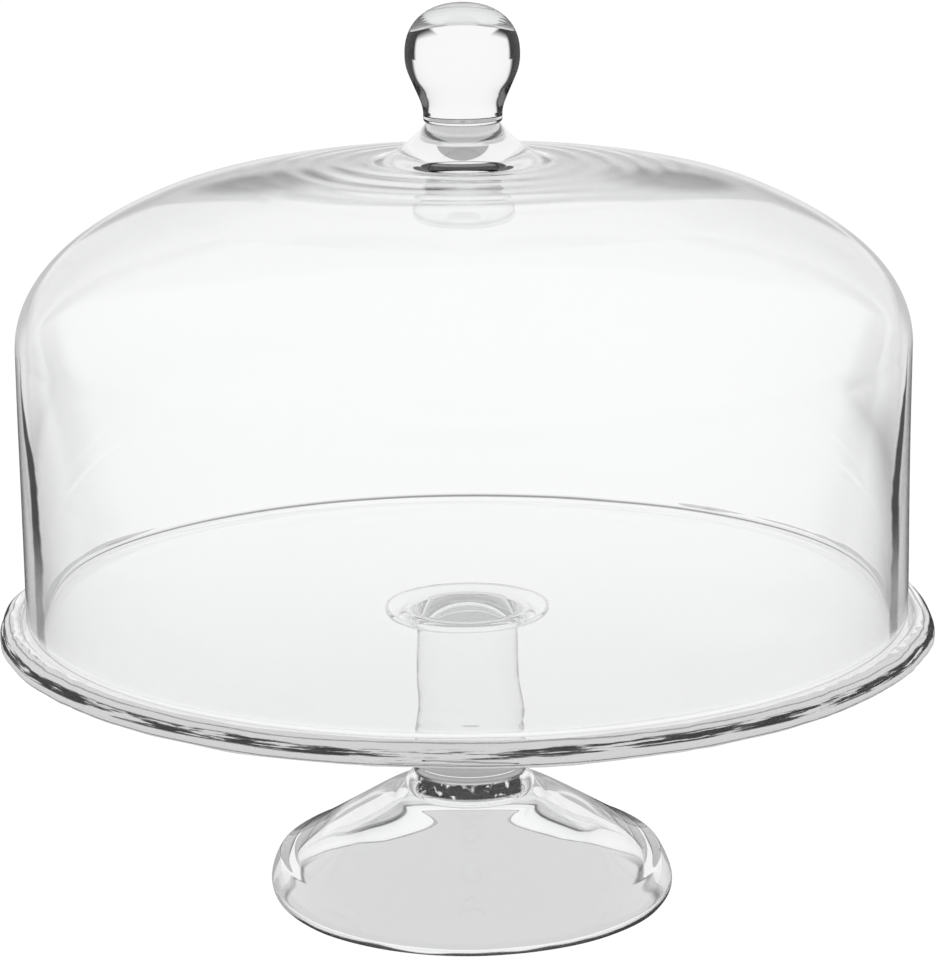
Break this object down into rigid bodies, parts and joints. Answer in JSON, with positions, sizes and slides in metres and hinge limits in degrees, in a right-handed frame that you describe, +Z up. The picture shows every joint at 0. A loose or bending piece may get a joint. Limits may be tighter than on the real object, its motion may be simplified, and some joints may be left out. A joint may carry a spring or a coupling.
{
  "type": "footed cake stand with dome cover",
  "caption": "Clear glass cake stand: a round rimmed plate on a short stem and bell foot, covered by a lift-off glass dome with a ball knob.",
  "frame": {"origin": "centre of the foot's resting ring, on the table", "axes": "+Z up along the axis of revolution; X and Y lie in the table plane, and every piece is round about Z"},
  "size_m": [0.306, 0.306, 0.2961],
  "materials": {
    "foot_glass": "clear, fire-polished, faintly wavy",
    "stem_glass": "clear, fire-polished",
    "plate_glass": "clear, fire-polished, faintly wavy",
    "dome_glass": "clear, thin blown wall, faintly wavy",
    "knob_glass": "clear, solid, fire-polished"
  },
  "bodies": {
    "stand": {"foot": "foot_glass", "stem": "stem_glass", "stem_button": "stem_glass", "plate": "plate_glass"},
    "cover": {"dome_shell": "dome_glass", "knob_collar": "knob_glass", "knob": "knob_glass"}
  },
  "joints": [
    {"name": "dome_lift", "type": "slide", "parent": "stand", "child": "cover", "axis": [0, 0, 1], "range_m": [0, 0.25]}
  ]
}
